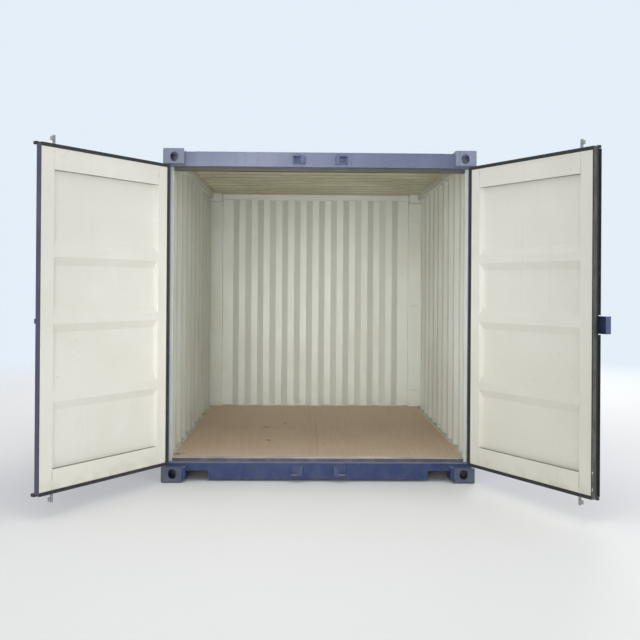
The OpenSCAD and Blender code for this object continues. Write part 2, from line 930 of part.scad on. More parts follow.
// rubber round three edges of a closed leaf and over its inner face, with tips in front at the corners
module door_gasket(reach, tip_y) {
    e0 = leaf_e + gasket_e;
    e1 = leaf_in_e + gasket_lip;
    z0 = leaf_low - gasket_t;
    z1 = leaf_top + gasket_t;
    difference() {
        slab([e0, leaf_half, z0], [e1, leaf_side + gasket_t, z1]);
        slab([e0 - cut, leaf_half - cut, leaf_low], [leaf_in_e, leaf_side, leaf_top]);
        slab([leaf_in_e - cut, leaf_half - cut, leaf_low + gasket_over],
            [e1 + cut, leaf_side - gasket_over, leaf_top - gasket_over]);
    }
    for (z = [z0, leaf_top])
        slab([leaf_e - reach, tip_y, z], [e0, leaf_half + tip_w, z + gasket_t]);
    for (z = [z0 - tip_past, leaf_top])
        slab([leaf_e - reach, tip_y, z], [leaf_e - tip_gap, leaf_half + tip_w, z + gasket_t + tip_past]);
}

// the strip that covers the right leaf's free edge; its lip is cut away behind the lock box
module cover_strip() {
    front = leaf_e - cover_e;
    slab([leaf_e, cover_y, leaf_low - gasket_t], [leaf_in_e + gasket_lip, leaf_half, leaf_top + gasket_t]);
    for (span = [
        [leaf_low + leaf_gap_z, lock_z - lock_h / 2 - lock_gap],
        [lock_z + lock_h / 2 + lock_gap, leaf_top - leaf_gap_z]
    ]) {
        slab([front, cover_y, span[0]], [leaf_e, leaf_half, span[1]]);
        slab([front, cover_y - cover_lip, span[0]], [front + cover_t, cover_y, span[1]]);
    }
}

// per hinge a barrel on the pin, a web and a blade on the leaf's outer face
module hinge_blades() {
    for (i = [0 : hinge_n - 1]) translate([0, 0, hinge_z(i) - blade_h / 2]) difference() {
        union() {
            translate([hinge_e, hinge_y, 0]) cylinder(h = blade_h, r = barrel_r);
            slab([hinge_e, hinge_y - barrel_r, 0], [leaf_e, hinge_y + barrel_r - web_in, blade_h]);
            slab([leaf_e - blade_t, leaf_side - blade_on, 0], [leaf_e, hinge_y, blade_h]);
        }
        translate([hinge_e, hinge_y, -cut]) cylinder(h = blade_h + 2 * cut, r = pin_r + pin_gap);
    }
}

// blocks that hold the lock bar, each on a foot
module bar_guides() {
    r = bar_r + guide_gap;
    for (spot = guide_spots) translate([0, bar_y, spot[0]]) difference() {
        union() {
            slab([bar_e - r - guide_cap, -r - guide_t, -guide_h / 2], [spot[1], r + guide_t, guide_h / 2]);
            slab([spot[1] - plate, -guide_foot / 2, -guide_h], [spot[1], guide_foot / 2, guide_h]);
        }
        translate([bar_e, 0, -guide_h]) cylinder(h = 2 * guide_h, r = r);
    }
}

// a shelf under the handle's end with its foot on the panel
module handle_catch(z) {
    y = bar_y + handle_len - catch_back;
    top = z - handle_h / 2 - lock_gap;
    slab([bar_e - handle_t, y, top - plate], [tray_out_e, y + catch_w, top]);
    slab([tray_out_e - plate, y - catch_past, top - catch_h], [tray_out_e, y + catch_w + catch_past, top]);
}

// the box over the middle of the closed doors, open toward them
module lock_box() {
    y0 = leaf_half - lock_past;
    y1 = leaf_half + lock_foot;
    z0 = lock_z - lock_h / 2;
    z1 = lock_z + lock_h / 2;
    rear = leaf_e - lock_gap;
    difference() {
        slab([lock_front, y0, z0], [rear, y1, z1]);
        slab([lock_front + lock_t, y0 + lock_t, z0 + lock_t], [rear + cut, y1 - lock_t, z1 - lock_t]);
    }
    for (z = [z0, z1 - lock_t]) slab([lock_front, leaf_half + lock_gap, z], [leaf_e, y1, z + lock_t]);
}

// the eye plate that stands inside the closed lock box
module lock_staple() {
    y = leaf_half + eye_in;
    difference() {
        slab([bar_e, y, lock_z - eye_h / 2], [leaf_e, y + eye_t, lock_z + eye_h / 2]);
        translate([bar_e + eye_h / 2, y - cut, lock_z]) rotate([-90, 0, 0])
            cylinder(h = eye_t + 2 * cut, r = eye_r);
    }
}

// a pipe with a cam at each end and a flat handle toward the hinge side
module lock_bar(z) {
    low = leaf_low - bar_past;
    top = leaf_top + bar_past;
    low_end = keeper_low_z - keeper_h / 2 + cam_in;
    top_end = keeper_top_z + keeper_h / 2 - cam_in;
    translate([bar_e, bar_y, 0]) {
        difference() {
            translate([0, 0, low]) cylinder(h = top - low, r = bar_r);
            translate([0, 0, low + bar_plug]) cylinder(h = top - low - 2 * bar_plug, r = bar_r - bar_t);
        }
        translate([0, 0, low_end]) cylinder(h = low - low_end + cut, r = cam_r);
        translate([0, 0, top - cut]) cylinder(h = top_end - top + cut, r = cam_r);
        for (c = [keeper_low_z, keeper_top_z]) translate([0, 0, c - cam_h / 2]) {
            translate([-cam_r, cam_r - cam_reach, 0]) cube([2 * cam_r, cam_reach - cam_r, cam_h]);
            translate([0, cam_r - cam_reach, 0]) cylinder(h = cam_h, r = cam_r);
        }
        difference() {
            union() {
                translate([0, 0, z - hub_h / 2]) cylinder(h = hub_h, r = hub_r);
                translate([-handle_t / 2, 0, z - handle_h / 2]) cube([handle_t, handle_len, handle_h]);
            }
            translate([0, 0, z - hub_h]) cylinder(h = 2 * hub_h, r = bar_r - bar_t / 2);
        }
    }
}

module left_door_frame() {
    color(cream) left_door() door_frame();
}

module left_door_panel() {
    color(cream) left_door() door_panel();
}

module left_door_gasket() {
    color(rubber) left_door() door_gasket(left_tip, leaf_half);
}

module left_hinge_blades() {
    color(blue) left_door() hinge_blades();
}

module left_bar_guides() {
    color(zinc) left_door() bar_guides();
}

module left_handle_catch() {
    color(zinc) left_door() handle_catch(left_handle_z);
}

module left_lock_staple() {
    color(blue) left_door() lock_staple();
}

module left_lock_bar() {
    color(zinc) left_door() lock_bar(left_handle_z);
}

module right_door_frame() {
    color(cream) right_door() door_frame();
}

module right_door_panel() {
    color(cream) right_door() door_panel();
}

module right_door_gasket() {
    color(rubber) right_door() {
        door_gasket(right_tip, cover_y);
        cover_strip();
    }
}

module right_hinge_blades() {
    color(blue) right_door() hinge_blades();
}

module right_bar_guides() {
    color(zinc) right_door() bar_guides();
}

module right_handle_catch() {
    color(zinc) right_door() handle_catch(right_handle_z);
}

module right_lock_box() {
    color(blue) right_door() lock_box();
}

module right_lock_bar() {
    color(zinc) right_door() lock_bar(right_handle_z);
}

bottom_castings();
top_castings();
left_door_post();
right_door_post();
left_back_post();
right_back_post();
left_hinge_lugs();
right_hinge_lugs();
door_sill();
door_header();
back_sill();
back_header();
sill_keepers();
header_keepers();
left_bottom_rail();
right_bottom_rail();
left_top_rail();
right_top_rail();
left_wall();
right_wall();
back_wall();
roof();
crossmembers();
fork_pockets();
left_floor();
right_floor();
threshold();
lashing_bars();
left_door_frame();
left_door_panel();
left_door_gasket();
left_hinge_blades();
left_bar_guides();
left_handle_catch();
left_lock_staple();
left_lock_bar();
right_door_frame();
right_door_panel();
right_door_gasket();
right_hinge_blades();
right_bar_guides();
right_handle_catch();
right_lock_box();
right_lock_bar();
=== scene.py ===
import json
import math
import random

import bmesh
import bpy
from mathutils import Matrix, Vector


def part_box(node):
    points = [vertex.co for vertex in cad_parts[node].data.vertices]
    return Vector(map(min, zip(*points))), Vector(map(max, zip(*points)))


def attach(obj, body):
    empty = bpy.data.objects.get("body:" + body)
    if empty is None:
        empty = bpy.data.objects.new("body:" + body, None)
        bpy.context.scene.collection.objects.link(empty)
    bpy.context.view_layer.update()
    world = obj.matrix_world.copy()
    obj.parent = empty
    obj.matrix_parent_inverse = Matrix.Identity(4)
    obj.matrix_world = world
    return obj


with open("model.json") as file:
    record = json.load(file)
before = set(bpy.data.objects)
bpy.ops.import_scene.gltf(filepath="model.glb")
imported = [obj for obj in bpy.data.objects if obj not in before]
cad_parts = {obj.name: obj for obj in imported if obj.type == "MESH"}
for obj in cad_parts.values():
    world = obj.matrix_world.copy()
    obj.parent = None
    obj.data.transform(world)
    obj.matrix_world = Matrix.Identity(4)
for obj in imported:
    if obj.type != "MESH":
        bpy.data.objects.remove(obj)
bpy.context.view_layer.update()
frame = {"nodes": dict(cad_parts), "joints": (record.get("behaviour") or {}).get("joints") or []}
NODES = frame["nodes"]
JOINTS = {joint["name"]: joint for joint in frame["joints"]}
DICE = random.Random(11)


def corners(points):
    """Lowest and highest corner of some points."""
    return Vector(map(min, zip(*points))), Vector(map(max, zip(*points)))


def box(node):
    """Lowest and highest corner of a CAD node."""
    low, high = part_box(node)
    return Vector(low), Vector(high)


UP, DOWN, TO_DOORS = Vector((0, 0, 1)), Vector((0, 0, -1)), Vector((1, 0, 0))
INWARD = {"left": Vector((0, 1, 0)), "right": Vector((0, -1, 0))}

# Slacks in metres: a length that counts as none, and how far from its plane a picked face's centre may be.
NEAR = 0.001
STOP_SLACK = 0.004
FREE_EDGE = 0.008
CAST_ROUND = 0.015

# Planes and sizes of the container, in metres. Depths, named with E, run inward from the castings' end face
# at the doors. What no box gives is repeated from the part's source.
END_X = box("bottom_castings")[1].x
TOP_Z = box("top_castings")[1].z
CAST_Z = box("bottom_castings")[1].z
FLOOR_Z = box("left_floor")[1].z
ROOF_Z = box("roof")[0].z
BACK_X = box("back_wall")[0].x + NEAR
POST = box("right_door_post")
DOORWAY_Y = POST[0].y + NEAR
CAST_IN_Y = 1.057
CAST_L = 0.178
STOP_E = 0.118
STOP_W = 0.026
HEAD_RECESS = 0.008
HINGE_X, HINGE_Y = JOINTS["right_door_hinge"]["pos_m"][:2]
PIN_END = 0.004
FOOT_T = 0.006
FIELD_D = 0.030
GASKET_OVER = 0.014
HANDLE_OVER = 0.024


class Leaf:
    """One door. Its local coordinates are those of the closed leaf: depth, place across from the middle, and
    height."""

    def __init__(self, side):
        self.side = side
        sign = 1 if side == "right" else -1
        joint = JOINTS[f"{side}_door_hinge"]
        hinge = Matrix.Translation(Vector(joint["pos_m"]))
        opened = math.radians(-joint["range_deg"][0]) * sign
        turn = hinge @ Matrix.Rotation(opened, 4, "Z") @ hinge.inverted()
        flip = Matrix(((-1, 0, 0, END_X), (0, sign, 0, 0), (0, 0, 1, 0), (0, 0, 0, 1)))
        self.local = flip @ turn.inverted()
        self.outward = (turn.to_3x3() @ TO_DOORS).normalized()

    def box(self, part):
        """Lowest and highest corner of one of the leaf's nodes, in local coordinates."""
        return corners([self.local @ v.co for v in NODES[f"{self.side}_{part}"].data.vertices])


LEAVES = [Leaf("left"), Leaf("right")]


def solid_boxes(node, local=Matrix()):
    """Lowest and highest corners of each separate solid of a node, in local coordinates."""
    mesh = NODES[node].data
    spots = [tuple(round(c, 5) for c in v.co) for v in mesh.vertices]
    group = {spot: spot for spot in spots}

    def root(spot):
        while group[spot] != spot:
            spot = group[spot]
        return spot

    for face in mesh.polygons:
        first = root(spots[face.vertices[0]])
        for index in face.vertices[1:]:
            group[root(spots[index])] = first
    members = {}
    for spot in group:
        members.setdefault(root(spot), []).append(local @ Vector(spot))
    return [corners(points) for points in members.values()]


def srgb(red, green, blue):
    """A colour written as 0 to 255 display values, in the linear values that the shader takes."""
    def linear(value):
        value /= 255
        return value / 12.92 if value <= 0.04045 else ((value + 0.055) / 1.055) ** 2.4
    return (linear(red), linear(green), linear(blue), 1)


# Colours of the container's finishes.
BLUE = srgb(41, 56, 98)
BLUE_FADED = srgb(116, 125, 154)
BLUE_BLEACHED = srgb(144, 150, 171)
BLUE_SCRAPED = srgb(60, 70, 108)
BLUE_DEEP = srgb(26, 36, 72)
SLATE = srgb(72, 80, 98)
CREAM = srgb(226, 229, 221)
CREAM_WARM = srgb(217, 219, 208)
# Duller cream for the back wall's slopes: painted shade.
CREAM_SLOPE_SHADE = srgb(213, 215, 207)
CREAM_DOOR = srgb(228, 226, 218)
CREAM_AGED = srgb(222, 220, 210)
# Ceiling creams: the lighter rib cream is painted light on the slopes that look to the doors, the olive
# creams painted shade.
CREAM_RIB_LIT = srgb(214, 211, 186)
CREAM_OLIVE_SHADE = srgb(188, 184, 152)
CREAM_SHADE = srgb(178, 173, 143)
CREAM_DIRT = srgb(178, 172, 152)
RUST = srgb(104, 66, 44)
PLY = srgb(219, 193, 167)
PLY_DARK = srgb(197, 172, 147)
PLY_PALE = srgb(218, 199, 170)
# Lighter plywood for the back of the floor: painted light.
PLY_LIT = srgb(240, 213, 187)
PLY_SCUFF = srgb(74, 60, 50)
RUBBER = srgb(29, 32, 33)
RUBBER_DUST = srgb(58, 59, 56)
RUBBER_BROWN = srgb(86, 83, 78)
ZINC = srgb(166, 169, 170)
ZINC_DARK = srgb(120, 124, 127)
STEEL_WORN = srgb(150, 142, 132)
# Dark greys of the sill's riser; the paler one also mottles the header's painted shade.
GREY_DARK = srgb(76, 75, 83)
GREY_MID = srgb(106, 102, 105)
# Dark olive grey for the header's stop faces: painted shade.
STOP_SHADE_OLIVE = srgb(92, 93, 84)
# Pale lilac and grey of the sill's ledges and the keepers' tops: painted highlight, with some dust.
LEDGE_HIGHLIGHT_LILAC = srgb(128, 134, 166)
LEDGE_DUST_HIGHLIGHT = srgb(150, 150, 162)
# Greys of the steps at the ends of the door panels' fields: painted shade.
STEP_SHADE_GREY = srgb(132, 130, 120)
STEP_SHADE_PALE = srgb(152, 149, 137)
# Dark purple greys of the doors' free edges: painted shade.
SHADE_PURPLE = srgb(64, 60, 84)
SHADE_PURPLE_PALE = srgb(84, 80, 104)
STRIP_PALE = srgb(216, 204, 194)

# Places where the finishes change, in metres: where paint starts to fade and take painted light, ground dust
# and grime end, the header fades and takes painted light less at its right, the floor is worn or takes
# painted light, the doors darken, and the cover strip turns dusty or is scraped.
FADE_AND_LIGHT_FROM = 0.5
DUST_TOP = 0.3
GRIME_RISE = 0.12
RIGHT_FADE_AND_LIGHT_Y = (-0.6, 0.6)
PLY_WORN_X = (0.5, 1.35)
PLY_LIT_X = (0.4, -1.3)
DARKENING_TOP = 2.0
EDGE_DARK_E = (0.073, 0.079)
SCRAPED_Z = (0.5, 0.3)
SCRAPED_E = (STOP_E - 0.020, STOP_E - 0.008)

# Scuffs on the floor, as place and radius in metres.
FLOOR_SCUFFS = (((-0.035, -0.476), 0.05), ((0.622, -0.431), 0.042), ((-0.266, -0.305), 0.04),
                ((1.22, -1.13), 0.06))

# Amounts from 0 to 1: gloss of the frame's paint, grime at the walls' foot, and darkening low on the doors.
PAINT_SPECULAR = 0.3
FOOT_GRIME = 0.35
DOOR_DARKENING = {"left": 0.05, "right": 0.2}


# Shader nodes.

class Shader:
    """One material's node tree, with short calls for the nodes used here."""

    def __init__(self, name, roughness=0.5, metallic=0.0):
        self.material = bpy.data.materials.new(name)
        self.material.use_nodes = True
        self.tree = self.material.node_tree
        self.bsdf = self.tree.nodes["Principled BSDF"]
        self.bsdf.inputs["Roughness"].default_value = roughness
        self.bsdf.inputs["Metallic"].default_value = metallic
        self.place = self.tree.nodes.new("ShaderNodeTexCoord").outputs["Object"]

    def node(self, kind, **settings):
        node = self.tree.nodes.new(kind)
        for key, value in settings.items():
            setattr(node, key, value)
        return node

    def feed(self, socket, value):
        """Links a socket, or sets its constant."""
        if isinstance(value, bpy.types.NodeSocket):
            self.tree.links.new(value, socket)
        else:
            socket.default_value = value

    def stretched(self, scale):
        mapping = self.node("ShaderNodeMapping")
        mapping.inputs["Scale"].default_value = scale
        self.feed(mapping.inputs["Vector"], self.place)
        return mapping.outputs["Vector"]

    def noise(self, scale, stretch=(1, 1, 1), detail=4, rough=0.55):
        noise = self.node("ShaderNodeTexNoise")
        noise.inputs["Scale"].default_value = scale
        noise.inputs["Detail"].default_value = detail
        noise.inputs["Roughness"].default_value = rough
        self.feed(noise.inputs["Vector"], self.stretched(stretch))
        return noise.outputs["Fac"]

    def cells(self, scale):
        cells = self.node("ShaderNodeTexVoronoi")
        cells.inputs["Scale"].default_value = scale
        self.feed(cells.inputs["Vector"], self.place)
        return cells.outputs["Color"]

    def band(self, value, low, high, to_low=0.0, to_high=1.0):
        """Maps a range of values to another, smoothly and held at its ends."""
        band = self.node("ShaderNodeMapRange", interpolation_type="SMOOTHSTEP")
        self.feed(band.inputs["Value"], value)
        band.inputs["From Min"].default_value = low
        band.inputs["From Max"].default_value = high
        band.inputs["To Min"].default_value = to_low
        band.inputs["To Max"].default_value = to_high
        return band.outputs["Result"]

    def patches(self, scale, low, high, least=0.0, most=1.0, **noise):
        """Noise brought from least to most between two of its levels; the scale counts per metre."""
        return self.band(self.noise(scale, **noise), low, high, least, most)

    def math(self, operation, first, second):
        node = self.node("ShaderNodeMath", operation=operation)
        self.feed(node.inputs[0], first)
        self.feed(node.inputs[1], second)
        return node.outputs[0]

    def times(self, first, second):
        return self.math("MULTIPLY", first, second)

    def mix(self, amount, first, second):
        node = self.node("ShaderNodeMix", data_type="RGBA")
        self.feed(node.inputs["Factor"], amount)
        self.feed(node.inputs["A"], first)
        self.feed(node.inputs["B"], second)
        return node.outputs["Result"]

    def axis(self, index):
        split = self.node("ShaderNodeSeparateXYZ")
        self.feed(split.inputs["Vector"], self.place)
        return split.outputs[index]

    def upward(self):
        """The upward share of a face's normal, from -1 to 1."""
        split = self.node("ShaderNodeSeparateXYZ")
        self.feed(split.inputs["Vector"], self.node("ShaderNodeNewGeometry").outputs["Normal"])
        return split.outputs["Z"]

    def distance(self, spot):
        node = self.node("ShaderNodeVectorMath", operation="DISTANCE")
        self.feed(node.inputs[0], self.place)
        node.inputs[1].default_value = spot
        return node.outputs["Value"]

    def depth(self, leaf):
        """Depth in a closed leaf, for a place on it."""
        node = self.node("ShaderNodeVectorMath", operation="DOT_PRODUCT")
        self.feed(node.inputs[0], self.place)
        node.inputs[1].default_value = leaf.local[0].xyz
        return self.math("ADD", node.outputs["Value"], leaf.local[0].w)

    def bump(self, height, strength, distance):
        bump = self.node("ShaderNodeBump")
        bump.inputs["Strength"].default_value = strength
        bump.inputs["Distance"].default_value = distance
        self.feed(bump.inputs["Height"], height)
        self.feed(self.bsdf.inputs["Normal"], bump.outputs["Normal"])

    def colour(self, value):
        self.feed(self.bsdf.inputs["Base Color"], value)

    def roughness(self, value):
        self.feed(self.bsdf.inputs["Roughness"], value)


def frame_paint(name, body, faded, deep, fade_and_light_to=0.9, right_fade_and_light=1.0, wear=0.0, grain=0.0008):
    """Container enamel: lighter toward the top, part sun fade and part painted light, streaked, dusty on
    upper faces and near the ground, and chipped in a few spots. Right fade and light is the share of that
    lightening left at the right side. Wear adds scratches along the walls and rust runs."""
    s = Shader(name)
    s.bsdf.inputs["Specular IOR Level"].default_value = PAINT_SPECULAR
    height = s.axis(2)
    # Lighter toward the top: part sun fade, part painted light.
    fade_and_light = s.times(s.band(height, FADE_AND_LIGHT_FROM, TOP_Z, 0.0, fade_and_light_to), s.patches(1.7, 0.3, 0.7, 0.7))
    if right_fade_and_light < 1:
        fade_and_light = s.times(fade_and_light, s.band(s.axis(1), *RIGHT_FADE_AND_LIGHT_Y, 1.0, right_fade_and_light))
    colour = s.mix(fade_and_light, body, faded)
    colour = s.mix(s.patches(5, 0.56, 0.8, 0.0, 0.3, stretch=(6, 6, 0.25)), colour, deep)
    mottle = s.noise(26, detail=6)
    colour = s.mix(s.band(mottle, 0.52, 0.8, 0.0, 0.2), colour, faded)
    dust = s.times(s.band(height, DUST_TOP, 0.0, 0.0, 0.06), s.patches(9, 0.4, 0.7, detail=6))
    colour = s.mix(dust, colour, CREAM_DIRT)
    settled = s.times(s.band(s.upward(), 0.6, 0.95, 0.0, 0.16), s.patches(3.5, 0.2, 0.8, 0.4, detail=6))
    colour = s.mix(settled, colour, CREAM_DIRT)
    if wear:
        scratches = s.patches(4, 0.67, 0.71, stretch=(0.4, 0.4, 16), detail=3)
        colour = s.mix(s.times(scratches, s.patches(1.1, 0.5, 0.62, 0.0, wear)), colour, BLUE_BLEACHED)
        runs = s.patches(9, 0.66, 0.74, stretch=(3, 3, 0.16))
        colour = s.mix(s.times(runs, s.patches(1.4, 0.48, 0.62, 0.0, wear)), colour, RUST)
    chips = s.times(s.patches(34, 0.735, 0.76, detail=3), s.patches(3, 0.5, 0.62))
    s.colour(s.mix(chips, colour, RUST))
    s.roughness(s.band(mottle, 0.3, 0.75, 0.38, 0.62))
    s.bump(s.noise(420, detail=2), 0.12, grain)
    return s.material


def inner_paint(name, body, warm, outside=None, darkening=0.0):
    """Off-white enamel of the inside: warm patches, faint runs and scuffs, and grime just over the floor.
    Darkening dulls it toward the ground. Outside a plane, given as axis, place and direction, the frame's
    blue takes its place."""
    s = Shader(name)
    height = s.axis(2)
    colour = s.mix(s.patches(1.4, 0.35, 0.7, detail=3), body, warm)
    colour = s.mix(s.patches(7, 0.6, 0.82, 0.0, 0.22, stretch=(5, 5, 0.18), detail=5), colour, CREAM_DIRT)
    scuffs = s.patches(60, 0.68, 0.72, stretch=(1, 1, 0.3), detail=2)
    colour = s.mix(s.times(scuffs, s.patches(2.6, 0.52, 0.66, 0.0, 0.4)), colour, CREAM_DIRT)
    low = s.band(height, FLOOR_Z + GRIME_RISE, FLOOR_Z, 0.0, FOOT_GRIME)
    colour = s.mix(s.times(low, s.patches(11, 0.35, 0.7)), colour, CREAM_DIRT)
    if darkening:
        colour = s.mix(s.band(height, DARKENING_TOP, FLOOR_Z, 0.0, darkening), colour, CREAM_SHADE)
    if outside:
        axis, place, direction = outside
        edge = NEAR * direction
        blue = s.mix(s.patches(20, 0.4, 0.9, detail=5), BLUE, BLUE_FADED)
        colour = s.mix(s.band(s.axis(axis), place - edge, place + edge), colour, blue)
    s.colour(colour)
    s.roughness(s.patches(18, 0.3, 0.75, 0.36, 0.5))
    s.bump(s.noise(380, detail=2), 0.06, 0.0004)
    return s.material


def plywood(name):
    """Worn plywood with its grain along the container, pale wear near the doors, painted light that
    brightens it toward the back, and dark scuffs."""
    s = Shader(name, roughness=0.72)
    grain = s.noise(9, stretch=(0.35, 9, 1), detail=7, rough=0.62)
    colour = s.mix(s.band(grain, 0.2, 0.82), PLY_DARK, PLY)
    colour = s.mix(s.patches(1.3, 0.45, 0.75, 0.0, 0.45, stretch=(0.7, 1.3, 1)), colour, PLY_PALE)
    front = s.times(s.band(s.axis(0), *PLY_WORN_X, 0.0, 0.3), s.patches(4, 0.3, 0.7, detail=5))
    colour = s.mix(front, colour, PLY_PALE)
    # Painted light: the wood grows lighter toward the back.
    lit_back = s.band(s.axis(0), *PLY_LIT_X, 0.0, 0.75)
    colour = s.mix(lit_back, colour, s.mix(grain, PLY, PLY_LIT))
    drag = s.patches(14, 0.69, 0.74, stretch=(0.5, 3.2, 1), detail=3)
    colour = s.mix(s.times(drag, s.patches(2.2, 0.54, 0.66, 0.0, 0.6)), colour, PLY_SCUFF)
    ragged = s.patches(40, 0.3, 0.7, 0.7, 2.2, detail=3)
    for (x, y), radius in FLOOR_SCUFFS:
        reach = s.times(s.distance((x, y, FLOOR_Z)), ragged)
        colour = s.mix(s.band(reach, radius, radius * 0.4, 0.0, 0.75), colour, PLY_SCUFF)
    s.colour(colour)
    s.roughness(s.band(grain, 0.3, 0.7, 0.6, 0.82))
    s.bump(grain, 0.2, 0.0012)
    return s.material


def worn(name, first, second, scale, roughness, metallic=0.0, stretch=(1, 1, 1)):
    """A finish of two tones in patches: worn rubber, steel and sealant, dark grey, and painted shade and
    highlight.
    """
    s = Shader(name, roughness=roughness, metallic=metallic)
    patches = s.noise(scale, stretch=stretch, detail=6)
    s.colour(s.mix(s.band(patches, 0.4, 0.72), first, second))
    s.roughness(s.band(patches, 0.3, 0.75, roughness - 0.1, roughness + 0.12))
    s.bump(s.noise(260, detail=2), 0.14, 0.0007)
    return s.material


def edge_rubber(name, leaf):
    """The cover strip on a leaf's free edge: black in front, dusty brown behind, with pale scrapes near its
    foot."""
    s = Shader(name, roughness=0.7)
    depth = s.depth(leaf)
    dust = s.mix(s.patches(24, 0.35, 0.7, stretch=(1, 1, 0.4), detail=6), RUBBER_BROWN, RUBBER_DUST)
    colour = s.mix(s.band(depth, *EDGE_DARK_E), RUBBER, dust)
    scraped = s.times(s.band(s.axis(2), *SCRAPED_Z), s.patches(30, 0.56, 0.62, detail=3))
    scraped = s.times(scraped, s.band(depth, *SCRAPED_E))
    s.colour(s.mix(scraped, colour, CREAM))
    s.bump(s.noise(260, detail=2), 0.14, 0.0007)
    return s.material


def galvanised(name):
    """Hot-dip zinc with its spangle and dull patches."""
    s = Shader(name, roughness=0.62, metallic=0.35)
    fine = s.noise(20, detail=5)
    colour = s.mix(s.band(s.cells(90), 0.2, 0.8, 0.0, 0.5), ZINC, ZINC_DARK)
    s.colour(s.mix(s.band(fine, 0.55, 0.8, 0.0, 0.6), colour, ZINC_DARK))
    s.roughness(s.band(fine, 0.3, 0.75, 0.55, 0.72))
    s.bump(s.noise(160, detail=3), 0.12, 0.0008)
    return s.material


FRAME_BLUE = frame_paint("frame_blue", BLUE, BLUE_FADED, BLUE_DEEP)
# The header is lighter toward its top and its left: part fade, part painted light.
HEADER_BLUE = frame_paint("header_blue", BLUE, BLUE_BLEACHED, BLUE_DEEP, fade_and_light_to=0.88, right_fade_and_light=0.66)
CASTING_BLUE = frame_paint("casting_blue", SLATE, BLUE_BLEACHED, BLUE_DEEP, fade_and_light_to=0.95, grain=0.0025)
SKIN_BLUE = frame_paint("skin_blue", BLUE, BLUE_FADED, BLUE_DEEP, fade_and_light_to=0.3, wear=0.55)
INNER_CREAM = inner_paint("inner_cream", CREAM, CREAM_WARM)
# The back wall's inner slopes in duller cream: painted shade.
SLOPE_SHADE_CREAM = inner_paint("slope_shade_cream", CREAM_SLOPE_SHADE, CREAM_SLOPE_SHADE)
CASTING_CREAM = inner_paint("casting_cream", CREAM, CREAM_WARM, outside=(2, ROOF_Z, 1))
POST_CREAM = inner_paint("post_cream", CREAM, CREAM_WARM, outside=(0, BACK_X, -1))
# Each door's cream grows darker toward the ground, more on the right door.
DOOR_CREAM = {side: inner_paint(f"{side}_door_cream", CREAM_DOOR, CREAM_AGED, darkening=amount)
              for side, amount in DOOR_DARKENING.items()}
# The ceiling in darker olive cream is painted shade; its door-facing slopes in lighter cream are painted
# light.
CEILING_SHADE_CREAM = inner_paint("ceiling_shade_cream", CREAM_OLIVE_SHADE, CREAM_SHADE)
RIB_LIT_CREAM = inner_paint("rib_lit_cream", CREAM_RIB_LIT, CREAM_OLIVE_SHADE)
FLOOR_PLY = plywood("floor_ply")
KEEPER_BLUE = frame_paint("keeper_blue", BLUE_SCRAPED, BLUE_FADED, BLUE_DEEP, fade_and_light_to=0.6)
# Pale tops of the sill keepers: painted highlight, with worn patches.
KEEPER_WEAR_HIGHLIGHT = worn("keeper_wear_highlight", LEDGE_DUST_HIGHLIGHT, LEDGE_HIGHLIGHT_LILAC, 60, 0.55)
SEAL = worn("seal_rubber_look", RUBBER, RUBBER_DUST, 50, 0.7, stretch=(1, 1, 0.5))
EDGE_SEAL = edge_rubber("edge_seal", LEAVES[1])
ZINC_LOOK = galvanised("zinc_look")
# The sill's riser behind the doors in dark grey patches.
RISER_DARK = worn("riser_dark", GREY_DARK, GREY_MID, 12, 0.75)
# The sill's upward faces in pale lilac: painted highlight, with dust.
LEDGE_HIGHLIGHT = worn("ledge_highlight", LEDGE_HIGHLIGHT_LILAC, LEDGE_DUST_HIGHLIGHT, 9, 0.6)
# The header's stop faces in dark olive grey: painted shade under the header.
STOP_SHADE = worn("stop_shade", STOP_SHADE_OLIVE, GREY_MID, 4, 0.75)
WORN_STRIP = worn("worn_strip", STRIP_PALE, STEEL_WORN, 5, 0.6, stretch=(1, 0.4, 1))
# The panels' end steps in grey: painted shade along the steps.
STEP_SHADE = worn("step_shade", STEP_SHADE_GREY, STEP_SHADE_PALE, 7, 0.7)
# The doors' free edges in dark purple grey: painted shade.
EDGE_SHADE = worn("edge_shade", SHADE_PURPLE, SHADE_PURPLE_PALE, 11, 0.6, stretch=(1, 1, 0.3))
SCREW_STEEL = worn("screw_steel", STEEL_WORN, PLY_SCUFF, 160, 0.55, metallic=0.5)
SEALANT = worn("sealant", CREAM_WARM, CREAM_DIRT, 9, 0.65)


# Finishes of the CAD nodes.

# Share of a face's normal along a direction from which it counts as sloping that way, or as square to it.
SLOPING = 0.2
SQUARE = 0.5


def dress(node, *materials, pick=None):
    """Gives a CAD node its finishes; pick chooses one for each face from its centre and normal."""
    mesh = NODES[node].data
    mesh.materials.clear()
    for material in materials:
        mesh.materials.append(material)
    for face in mesh.polygons:
        face.material_index = pick(face.center, face.normal) if pick else 0


def toward(*directions):
    """Picks the second finish for faces that look along one of the directions."""
    return lambda centre, normal: int(any(normal.dot(d) > SLOPING for d in directions))


def behind_doors(centre):
    """Whether a face's centre is as deep as the stop that the doors close against."""
    return END_X - centre.x > STOP_E - STOP_SLACK


def at_stop(centre, normal):
    """Picks the second finish for the frame's faces that the doors close against, and those behind."""
    looks_in = abs(normal.x) > SQUARE or abs(centre.y) < DOORWAY_Y
    return int(behind_doors(centre) and normal.z < SQUARE and looks_in)


def at_riser(centre, normal):
    """Picks the second finish, dark grey, for the sill's riser behind the doors, and the third, pale lilac
    of painted highlight with dust, for its ledges.
    """
    if normal.z > SQUARE:
        return 2
    return int(normal.x > SQUARE and behind_doors(centre))


